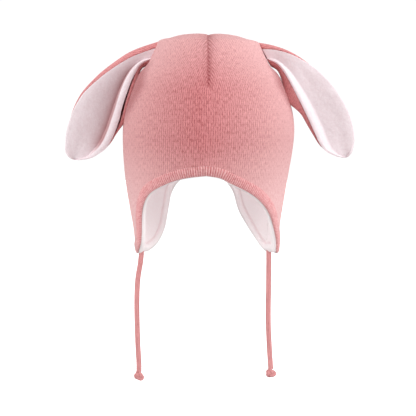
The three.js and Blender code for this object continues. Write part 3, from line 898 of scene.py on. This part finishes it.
def make_tie(name, side):
    """The cord's tube, closed at both ends. Returns the piece and its middle line."""
    route = tie_points(name, side)
    keys = np.linspace(0, 1, len(route))

    def place(across, along):
        centre = between_rows(along, keys, route)
        length = along * CORD_LENGTH
        angle = 2 * math.pi * across
        groove = -math.pi / 2 + 0.5 * np.sin(length / 17 + side) + 0.25 * np.sin(length / 7.3)
        off = off_zero(angle - groove)
        pinch = 0.26 * bell(off, 0.42) + 0.2 * bell(math.pi - off, 0.45)
        ripple = 0.035 * np.cos(2 * math.pi * length / CORD_STITCH + np.sign(angle - groove) * 1.2)
        radius = TIE_DIAMETER / 2 * (1.02 - pinch + ripple)
        return centre + np.column_stack([np.cos(angle), np.sin(angle), 0 * angle]) * radius[:, None]

    def pattern(across, along):
        return np.column_stack([across * 8, along * CORD_LENGTH / CORD_STITCH])

    bm = cloth_grid(*TIE_GRID, place, pattern)
    sew_up(bm, cap_ends=True)
    return finish_piece(f"{name}_tie_cord", bm, pink_cord, f"{name}_tie"), route


def make_knot(name, end, tilt):
    """An overhand knot pulled tight: a thick strand that follows a three-looped line."""
    wide, high = KNOT_WIDTH / 2 - KNOT_STRAND, KNOT_HEIGHT / 2 - KNOT_STRAND

    def line(t):
        ring = wide * (0.64 + 0.36 * np.cos(3 * t))
        return np.column_stack([ring * np.cos(2 * t), ring * np.sin(2 * t), high * np.sin(3 * t)])

    def place(across, along):
        t = 2 * math.pi * along
        middle = line(t)
        ahead = unit(line(t + 0.01) - line(t - 0.01))
        outward = unit(middle - (ahead * middle).sum(1)[:, None] * ahead)
        other = np.cross(ahead, outward)
        angle = 2 * math.pi * across[:, None]
        spots = middle + KNOT_STRAND * (np.cos(angle) * outward + np.sin(angle) * other)
        spots = spots[:, [0, 2, 1]] * (1, 1, KNOT_HEIGHT / KNOT_WIDTH)
        turned = spots.copy()
        turned[:, 0] = spots[:, 0] * math.cos(tilt) - spots[:, 2] * math.sin(tilt)
        turned[:, 2] = spots[:, 0] * math.sin(tilt) + spots[:, 2] * math.cos(tilt)
        return turned + end - (0, 0, LAYER_GAP + KNOT_HEIGHT / 2 - 0.6)

    def pattern(across, along):
        return np.column_stack([across * 6, along * 22])

    bm = cloth_grid(*KNOT_GRID, place, pattern)
    sew_up(bm)
    return finish_piece(f"{name}_knot", bm, pink_cord, f"{name}_tie_knot")


for name, side, tilt in (("left", -1, -0.65), ("right", 1, -0.1)):
    tie, route = make_tie(name, side)
    knot = make_knot(name, route[-1], tilt)

# %% [markdown]
# The outside is one knitted fabric. Its crown is shaped by four darts, where the wales of two neighbouring
# panels meet at a seam; below them the wales run straight down. Its painted shade is in the stitches of the
# seams, and a painted shadow where an ear rests on the crown.
# The grid's columns gather beside the darts, and its pattern coordinates start at the middle of each panel,
# so that the wales meet at the seam as the real ones do.

# %% Knit shell
WALES_IN_HALF_PANEL = 30
COURSE = 1.6
HAT_COLUMNS = 288
HAT_ROWS = 160
SEAM_GATHER = 0.88
EAR_SHADOW_PAINT = 0.6
TOP_MERGE = 1e-5
BAND_OVERLAP = 1.4


def column_grid(end, across, along):
    """Turn and path of a grid spot: even round the crown, and on the end line at the bottom."""
    count = len(end) - 1
    even = 2 * math.pi * across
    start = even - SEAM_GATHER / 4 * np.sin(4 * even)
    turn_end, path_end = between_rows(across * count, np.arange(count + 1), end).T
    path = path_end * along
    drift = smoothstep(path, SEAM_END, path_end)
    return start + (turn_end - start) * drift, path


def panel_radius(path):
    """How far the middle of a panel is from the hat's axis, as far down as the seams go."""
    row = crown_at(np.minimum(path, SEAM_END))
    deep = (row[:, FRONT] + row[:, BACK]) / 2
    return np.hypot(row[:, WIDE] * HAT_WIDTH / 2, deep * HAT_DEPTH / 2) / math.sqrt(2)


WALE = panel_radius(np.array([SEAM_END]))[0] * QUARTER / 2 / WALES_IN_HALF_PANEL
shell_end = move_up_fabric(sagging_edge(EDGE_COLUMNS), BAND_WIDTH - BAND_OVERLAP)


def shell_pattern(across, along):
    """Wales from the middle of the face's own panel, and courses down from the top."""
    turn, path = column_grid(shell_end, across, along)
    middle = (np.floor(turn.mean() / QUARTER) + 0.5) * QUARTER
    return np.column_stack([panel_radius(path) * (turn - middle) / WALE, path / COURSE])


def shell_place(across, along):
    return hat_point(*column_grid(shell_end, across, along))


def painted_ear_shadow(turn, path):
    """A painted shadow of the ear on the crown's knit where the ear rests on it, soft towards the front and
    below.
    """
    down = np.interp(path, fine_paths, fine_downs)
    right = np.where(turn < math.pi, 1, 0)
    start = np.where(right, 68, 61) + np.abs(down - np.where(right, 44, 47)) * 0.45
    off_face = np.degrees(off_zero(turn))
    high = smoothstep(down, 20, 36) * (1 - smoothstep(down, np.where(right, 56, 62), np.where(right, 80, 84)))
    return high * smoothstep(off_face, start - 13, start + 3) * (1 - smoothstep(off_face, 84, 100))


# Painted shade on the crown: the seams' stitches and the ears' shadow.
def shell_painted_shade(across, along):
    turn, path = column_grid(shell_end, across, along)
    return np.maximum(seam_stitches(turn, path), EAR_SHADOW_PAINT * painted_ear_shadow(turn, path))


bm = cloth_grid(HAT_COLUMNS, HAT_ROWS, shell_place, shell_pattern, shell_painted_shade)
sew_up(bm, lambda middle: middle + Vector((0, 0, 0.1)), TOP_MERGE)
shell = finish_piece("crown_knit", bm, pink_knit, "knit_shell")
thicken(shell, KNIT_WALL)
print("wale", round(WALE, 2), "mm;", len(shell.data.polygons), "faces")

# %% [markdown]
# A ribbed band covers the raw edge all the way round. Its ribs stand square to the edge, about 1.9 mm apart,
# so the grid has four columns for each rib and they are real relief, not paint, with painted shade in their
# valleys. The seam along its top is a soft line of painted shade.

# %% Ribbed edge band
RIB_PITCH = 1.9
RIB_DEPTH = 0.55
RIB_COLUMNS = 4
RIB_WANDER = 0.22
RIBS = round(EDGE_LENGTH / RIB_PITCH)

# Share up the band and depth below the knit's face, all the way round the band's section
BAND_SECTION = [
    (1.0, 0.7), (0.975, 0.0), (0.92, -0.4), (0.8, -0.7), (0.6, -0.8), (0.4, -0.8), (0.2, -0.7),
    (0.06, -0.3), (0.0, 0.4), (0.0, 1.2), (0.1, KNIT_WALL), (0.5, KNIT_WALL), (0.9, KNIT_WALL),
]
band_base = sagging_edge(RIB_COLUMNS * RIBS)
band_lines = [(up, move_up_fabric(band_base, up * (BAND_WIDTH - LAYER_GAP / 2)) if up else band_base)
              for up in sorted({up for up, _ in BAND_SECTION})]
band_ups = np.array([up for up, _ in band_lines])
band_stack = np.array([line for _, line in band_lines])


def rib_wander(column, up):
    """Ribs lean a little this way and that, by up to an eighth of their pitch."""
    return np.array([RIB_WANDER * noise.noise((c * 0.11, u * 2, 5)) for c, u in zip(column, up)])


def band_spots(across, along):
    """Column, place in the section and share up the band of each vertex."""
    ring = np.round(along * len(BAND_SECTION)).astype(int) % len(BAND_SECTION)
    return np.round(across * RIB_COLUMNS * RIBS).astype(int), ring, np.array(BAND_SECTION)[ring, 0]


def band_place(across, along):
    column, ring, up = band_spots(across, along)
    depth = np.array(BAND_SECTION)[ring, 1]
    turn, path = band_stack[np.searchsorted(band_ups, up), column].T
    outer = smoothstep(-depth, -1.0, 0.3)
    rib = np.cos(2 * math.pi * (column / RIB_COLUMNS + rib_wander(column, up))) * RIB_DEPTH * outer
    return under_surface(turn, path, depth - rib)


def band_pattern(across, along):
    column, _, up = band_spots(across, along)
    return np.column_stack([column / RIB_COLUMNS + rib_wander(column, up), along * 16])


# Painted shade along the seam at the band's top.
def band_painted_shade(across, along):
    return np.where(band_spots(across, along)[1] <= 1, 0.35, 0.0)


bm = cloth_grid(RIB_COLUMNS * RIBS, len(BAND_SECTION), band_place, band_pattern, band_painted_shade)
sew_up(bm)
band = finish_piece("ribbed_edge", bm, pink_rib, "edge_band")
print(RIBS, "ribs;", len(band.data.polygons), "faces")

# %% [markdown]
# The lining is a second hat of fleece inside the first. Its edge is folded back into a soft hem that stands
# a little proud of the band, which is what shows along the flaps. The groove above the hem gets painted shade,
# and the cloth inside it a little of the same colour, so it is a little pinker than the hem. Fine noise moves
# the pile's surface.

# %% Fleece lining
LINING_COLUMNS = 256
LINING_ROWS = 104
HEM_SHARE = 0.14
HEM_START = HEM_WIDTH + 4
HEM_END = -0.8
HEM_ROWS = 25
LINING_WALL = 1.5
LINING_FOLLOWS = 0.5
ABOVE_HEM = 99
GROOVE_PAINTED_SHADE = 0.26
PANEL_SHADE = 0.07

lining_base = sagging_edge(EDGE_COLUMNS)
hem_distances = np.linspace(HEM_START, HEM_END, HEM_ROWS)
hem_lines = np.array([move_up_fabric(lining_base, distance) for distance in hem_distances])


def pile_noise(points, size, height):
    return np.array([height * noise.noise(Vector(point) / size) for point in points])


def lining_spots(across, along):
    """Turn, path and distance above the edge: rows run down the body, then down the lines of the hem."""
    body = along < 1 - HEM_SHARE
    turn, path = column_grid(hem_lines[0], across, np.minimum(along / (1 - HEM_SHARE), 1))
    down = np.clip((along - 1 + HEM_SHARE) / HEM_SHARE, 0, 1) * (HEM_ROWS - 1)
    low = np.minimum(down.astype(int), HEM_ROWS - 2)
    part = (down - low)[:, None]
    column = across * (len(lining_base) - 1)
    left = np.minimum(column.astype(int), len(lining_base) - 2)
    mid = (column - left)[:, None]
    upper, lower = (
        hem_lines[line, left] * (1 - mid) + hem_lines[line, left + 1] * mid for line in (low, low + 1)
    )
    hem = upper * (1 - part) + lower * part
    turn = np.where(body, turn, hem[:, 0])
    path = np.where(body, path, hem[:, 1])
    distance = np.interp(down, np.arange(HEM_ROWS), hem_distances)
    return turn, path, np.where(body, ABOVE_HEM, distance)


# Painted shade in the groove above the hem, and a little of it over the panel inside it.
def lining_painted_shade(across, along):
    distance = lining_spots(across, along)[2]
    groove = GROOVE_PAINTED_SHADE * bell(distance - HEM_WIDTH - 0.5, 0.9)
    return groove + PANEL_SHADE * smoothstep(distance, HEM_WIDTH - 0.5, HEM_WIDTH + 1)


def lining_place(across, along):
    turn, path, distance = lining_spots(across, along)
    roll = HEM_ROLL * np.sqrt(np.maximum(0, 1 - (2 * distance / HEM_WIDTH - 1) ** 2))
    groove = 0.5 * bell(distance - HEM_WIDTH - 0.6, 0.9)
    lip = 1 - smoothstep(distance, HEM_END, 1.2)
    place = plain_surface(turn, path)
    depth = WALL_STACK + (roll - groove) * (1 - 0.2 * lip) - 1.6 * lip
    depth = depth + pile_noise(place, 3.2, 0.14) + pile_noise(place, 9, 0.3) * (distance > HEM_WIDTH)
    place = under_surface(turn, path, depth + LINING_FOLLOWS * crown_relief(turn, path))
    place[path < 0.01] = (0, 0, -SEAM_PULL - SEAM_GROOVE)
    return place


bm = cloth_grid(LINING_COLUMNS, LINING_ROWS, lining_place, painted_shade_marks=lining_painted_shade)
sew_up(bm, lambda middle: -middle - Vector((0, 0, 0.1)), TOP_MERGE)
lining = finish_piece("lining_of_fleece", bm, lining_fleece, "fleece_lining")
thicken(lining, LINING_WALL)
print("lining:", len(lining.data.polygons), "faces")

# %% [markdown]
# Each ear is a knitted back and a fleece front, sewn into the side seam at its narrow root. It droops under
# its own weight: the knit cups round the fleece and curls over its edges near the root, and opens out towards
# the tip. A lip of fleece stands up along the inner edge, with a deep fold beside it on the left ear, darkened
# with painted shade where the lip's shadow falls. Towards the tip both layers close to a point and grow thin,
# so that they end in a neat edge.

# %% Ear sizes
EAR_LENGTH = 120
EAR_WIDTH = 42
EAR_LIP_RISE = 5
EAR_HEEL = 0.3
EAR_ROOT_DROP = 6.4
EAR_GAP = 0.8
TIP_START = 0.93
TIP_END = 0.985
ROOT_SINK = 2.0
INNER_FLANK = 4.5
LIP_COLUMNS = 0.32
FOLD_COLUMNS = 0.2
PATTERN_FULLNESS = 1.9
KNIT_GRID = (44, 100)
FLEECE_GRID = (64, 110)
LIP_WIDTH = {"left": 0.85, "right": 0.6}
LIP_HEIGHT = {"left": 0.7, "right": 0.25}
FLANK_START = {"left": (0.27, 0.42), "right": (0.19, 0.32)}
FLANK_END = {"left": (0.5, 0.72), "right": (0.36, 0.56)}
FOLD_WIDTH = {"left": 0.05, "right": 0.16}
# How dark the painted shade in the fold beside the lip is, and how fast it fades outward.
PAINTED_FOLD_SHADE = {"left": 0.95, "right": 0.12}
PAINTED_FOLD_FADE = {"left": 0.13, "right": 0.2}
TIP_ROUND = {"left": 0.1, "right": -0.12}

# The columns of the tables, from the ear's root to its tip
OUT, DOWN, LEAN, WIDTH, FORWARD, BELLY, INNER_CURL, OUTER_CURL, LIP, VALLEY = range(10)
EAR_ROWS = {
    "left": [
        (0, 0, -24, 0.537, 0.06, 0.1, 152, 152, 0.02, 0),
        (0.088, 0.037, -4, 0.468, 0.14, 0.16, 144, 152, 0.1, 0.05),
        (0.174, 0.121, 37, 0.591, 0.26, 0.26, 139, 139, 0.18, 0.15),
        (0.28, 0.254, 58, 0.866, 0.31, 0.34, 132, 124, 0.22, 0.24),
        (0.381, 0.407, 61, 1.021, 0.28, 0.36, 115, 110, 0.22, 0.27),
        (0.466, 0.592, 65, 0.956, 0.2, 0.3, 98, 92, 0.2, 0.2),
        (0.518, 0.698, 73, 0.716, 0.14, 0.22, 86, 84, 0.16, 0.09),
        (0.565, 0.765, 77, 0.377, 0.1, 0.16, 78, 76, 0.08, 0.03),
        (0.588, 0.794, 81, 0.14, 0.08, 0.12, 72, 72, 0.02, 0),
    ],
    "right": [
        (0, 0, -29, 0.563, 0.06, 0.1, 158, 152, 0.02, 0),
        (0.077, 0.027, -7, 0.513, 0.14, 0.16, 152, 135, 0.1, 0.03),
        (0.155, 0.099, 23, 0.629, 0.26, 0.22, 150, 115, 0.13, 0.06),
        (0.258, 0.207, 44, 0.768, 0.31, 0.26, 140, 92, 0.14, 0.1),
        (0.367, 0.341, 54, 0.86, 0.28, 0.27, 127, 86, 0.15, 0.13),
        (0.463, 0.503, 61, 0.859, 0.2, 0.26, 115, 84, 0.15, 0.13),
        (0.518, 0.628, 67, 0.72, 0.14, 0.22, 98, 82, 0.12, 0.08),
        (0.566, 0.722, 72, 0.42, 0.1, 0.16, 82, 78, 0.06, 0.02),
        (0.592, 0.765, 77, 0.14, 0.08, 0.12, 72, 72, 0.02, 0),
    ],
}
print("rows of an ear:", {name: len(rows) for name, rows in EAR_ROWS.items()})


# %% Ear surfaces
def ear_layers(row):
    """Half width and belly, and the walls of knit and fleece, which are thinner where the ear is narrow."""
    half, belly = row[:, WIDTH] * EAR_WIDTH / 2, row[:, BELLY] * EAR_WIDTH
    return half, belly, np.minimum(KNIT_WALL, half / 3), np.minimum(FLEECE_WALL, half / 3)


def ear_outline(row, angle, inset):
    """A point of the knit's section: angle 0 is the back, 90 the outer edge, past 90 turns to the front."""
    half, belly = ear_layers(row)[:2]
    rise = np.minimum(EAR_LIP_RISE, half / 2)
    deep = np.where(np.cos(angle) > 0, (belly - inset) * (1 - EAR_HEEL * np.sin(angle)), rise - inset / 2)
    return np.sin(angle) * (half - inset), -np.cos(angle) * deep


def fleece_edge(row, angle):
    """Where the fleece's edge lies beside the knit's, farther out where the knit is flat."""
    _, _, wall, thin = ear_layers(row)
    turned = np.degrees(np.abs(angle))
    across, ahead = ear_outline(row, angle, wall / 2)
    over = wall * (0.9 - 0.55 * smoothstep(turned, 84, 104))
    low = smoothstep(turned, 106, 126)
    height = 0.95 * thin * (1 - low) + 0.25 * thin * low
    return across + np.sign(angle) * over, ahead + height


def lip_share(row):
    """Where the lip of the fleece ends, as a share of the way across."""
    inner = fleece_edge(row, np.radians(-row[:, INNER_CURL]))
    outer = fleece_edge(row, np.radians(row[:, OUTER_CURL]))
    return np.clip(row[:, LIP] * EAR_WIDTH / np.maximum(outer[0] - inner[0], 0.1), 0.08, 0.4)


def fleece_front(row, share, fold_width, lip_height):
    """The fleece's face, from its inner edge at share 0 to its outer edge at share 1."""
    half, belly, wall, thin = ear_layers(row)
    inner_x, inner_y = fleece_edge(row, np.radians(-row[:, INNER_CURL]))
    outer_x, outer_y = fleece_edge(row, np.radians(row[:, OUTER_CURL]))
    outer_x = outer_x - 0.8 * (1 - smoothstep(row[:, OUT], 0.02, 0.24))
    lip = lip_share(row)
    across = inner_x + (outer_x - inner_x) * share
    level = inner_y + (outer_y - inner_y) * share
    level = level + np.maximum(EAR_GAP + thin - outer_y, 0) * smoothstep(share, 0.5, 0.96)
    ridge = lip_height * thin * np.sin(math.pi * np.minimum(share / lip, 1)) ** 0.7
    past = np.clip((share - lip) / (1 - lip), 0, 1)
    valley = row[:, VALLEY] * EAR_WIDTH * smoothstep(share, lip - 0.02, lip + fold_width) * (1 - past) ** 1.4
    reach = np.clip(across / np.maximum(half - wall, 1e-6), -1, 1)
    over_knit = EAR_GAP + thin - np.sqrt(1 - reach**2) * (belly - wall) * (1 - EAR_HEEL * reach)
    return across, np.maximum(level + ridge - valley, over_knit)


def clear_of_crown(points, distance):
    """Moves points out of the crown, to a distance from it."""
    down = WALL_STACK - points[:, 2]
    row = crown_at(path_at_down(np.maximum(down, 0)))
    wide = np.maximum(row[:, WIDE] * HAT_WIDTH / 2, 0.1)
    deep = np.maximum(np.where(points[:, 1] < 0, row[:, FRONT], row[:, BACK]) * HAT_DEPTH / 2, 0.1)
    reach = np.hypot(points[:, 0] / wide, points[:, 1] / deep)
    wanted = 1 + distance / wide
    grow = np.where((down > 0) & (reach < wanted) & (reach > 0), wanted / np.maximum(reach, 1e-6), 1)
    points[:, :2] *= grow[:, None]
    return points


def ear_tools(name, side):
    """Returns row_at(along) and place(row, across, ahead, along, height) of one ear, and its length."""
    rows = np.array(EAR_ROWS[name], float)
    rows[:, LIP] *= LIP_WIDTH[name]
    root_drop = EAR_ROOT_DROP + (CROWN_SLUMP if side > 0 else 0)
    root = plain_surface(np.array([QUARTER]), np.atleast_1d(path_at_down(root_drop)))[0]
    lean, half = math.radians(rows[0, LEAN]), rows[0, WIDTH] * EAR_WIDTH / 2
    root_out = root[0] - math.sin(lean) * half
    root_down = root_drop + math.cos(lean) * half
    keys = run_along(rows[:, : DOWN + 1] * EAR_LENGTH)
    curve = table_curve(keys, rows)

    def row_at(along):
        row = curve(keys[-1] * along * TIP_END)
        past = np.maximum(along - TIP_START, 0) / (1 - TIP_START)
        closing = np.clip(1 - past**3, 0, 1) ** (1 / 3)
        row[:, WIDTH] *= (1 + TIP_ROUND[name] * smoothstep(along, 0.9, 0.96)) * closing
        row[:, BELLY] *= closing
        return row

    def place(row, across, ahead, along, height):
        tilt = np.radians(row[:, LEAN])
        sewn_in = ROOT_SINK * (1 - smoothstep(along, 0.03, 0.2))
        out = root_out - sewn_in + row[:, OUT] * EAR_LENGTH + np.sin(tilt) * across
        down = root_down + row[:, DOWN] * EAR_LENGTH - np.cos(tilt) * across
        forward = row[:, FORWARD] * EAR_WIDTH + ahead
        points = np.column_stack([side * out, -forward, WALL_STACK - down])
        return clear_of_crown(points, smoothstep(along, 0, 0.2) * height - 0.4 - sewn_in)

    return row_at, place, keys[-1]


# %% Ear pieces
def towards_tip(along):
    """Rows close up towards the tip, where the outline turns fastest."""
    return along * (2 - along)


def thin_tip(across, along):
    """The share of its thickness that an ear's cloth keeps, where its layers meet in a point."""
    return 1 - 0.94 * smoothstep(towards_tip(along), 0.94, 0.995)


def ear_piece(bm, ahead, part, material, node, wall):
    """One layer of an ear: its faces point forward or back, and its wall thins at the tip."""
    sew_up(bm, lambda middle: Vector((0, ahead, 0)))
    piece = finish_piece(part, bm, material, node)
    piece.vertex_groups.new(name="thickness")
    thicken(piece, wall, "thickness")
    return piece


def make_ear(name, side):
    """The knit back and the fleece front of one ear."""
    row_at, place, length = ear_tools(name, side)
    fold_width = FOLD_WIDTH[name]

    def fleece_share(row, across):
        """Columns of the fleece close up beside the lip: a third on it, a fifth on the fold beside it."""
        lip = lip_share(row)
        fold_end = LIP_COLUMNS + FOLD_COLUMNS
        on_lip = lip * across / LIP_COLUMNS
        on_fold = lip + fold_width * (across - LIP_COLUMNS) / FOLD_COLUMNS
        beyond = lip + fold_width + (1 - lip - fold_width) * (across - fold_end) / (1 - fold_end)
        return np.where(across < LIP_COLUMNS, on_lip, np.where(across < fold_end, on_fold, beyond))

    # Painted shade in the fold beside the lip: darkest at the lip, fading outward.
    def fleece_painted_shade(across, along):
        row = row_at(towards_tip(along))
        past = fleece_share(row, across) - lip_share(row)
        shade = np.where(past < 0, bell(past, 0.02), np.exp(-past / PAINTED_FOLD_FADE[name]))
        return PAINTED_FOLD_SHADE[name] * shade * smoothstep(row[:, VALLEY], 0.02, 0.2)

    def knit_place(across, along):
        along = towards_tip(along)
        row = row_at(along)
        inner, outer = row[:, INNER_CURL], row[:, OUTER_CURL]
        angle = np.radians(-inner + (inner + outer) * across)
        sideways, ahead = ear_outline(row, angle, 0)
        flank = bell(np.degrees(angle) + 78, 30)
        flank = flank * smoothstep(along, *FLANK_START[name]) * (1 - smoothstep(along, *FLANK_END[name]))
        return place(row, sideways - INNER_FLANK * flank, ahead, along, 0)

    def knit_pattern(across, along):
        along = towards_tip(along)
        wide = row_at(along)[:, WIDTH] * EAR_WIDTH * PATTERN_FULLNESS
        return np.column_stack([(across - 0.5) * wide / WALE, along * length / COURSE])

    def fleece_place(across, along):
        along = towards_tip(along)
        row = row_at(along)
        face = fleece_front(row, fleece_share(row, across), fold_width, LIP_HEIGHT[name])
        spots = place(row, *face, along, WALL_STACK)
        bump = pile_noise(spots, 3.2, 0.12) + pile_noise(spots, 8, 0.3)
        spots[:, 1] += bump * smoothstep(along, 0, 0.15)
        return spots

    bm = cloth_grid(*KNIT_GRID, knit_place, knit_pattern, thickness=thin_tip)
    knit = ear_piece(bm, 1, f"{name}_ear_back", ear_knit, f"{name}_ear_knit", KNIT_WALL)
    bm = cloth_grid(*FLEECE_GRID, fleece_place, painted_shade_marks=fleece_painted_shade, thickness=thin_tip)
    front = ear_piece(
        bm, -1, f"{name}_ear_front", ear_fleece, f"{name}_ear_fleece", FLEECE_WALL
    )
    smoother = front.modifiers.new("subsurf", "SUBSURF")
    smoother.levels = smoother.render_levels = 1
    return knit, front


for name, side in (("left", -1), ("right", 1)):
    knit, front = make_ear(name, side)
    print(knit.name, len(knit.data.polygons), front.name, len(front.data.polygons))
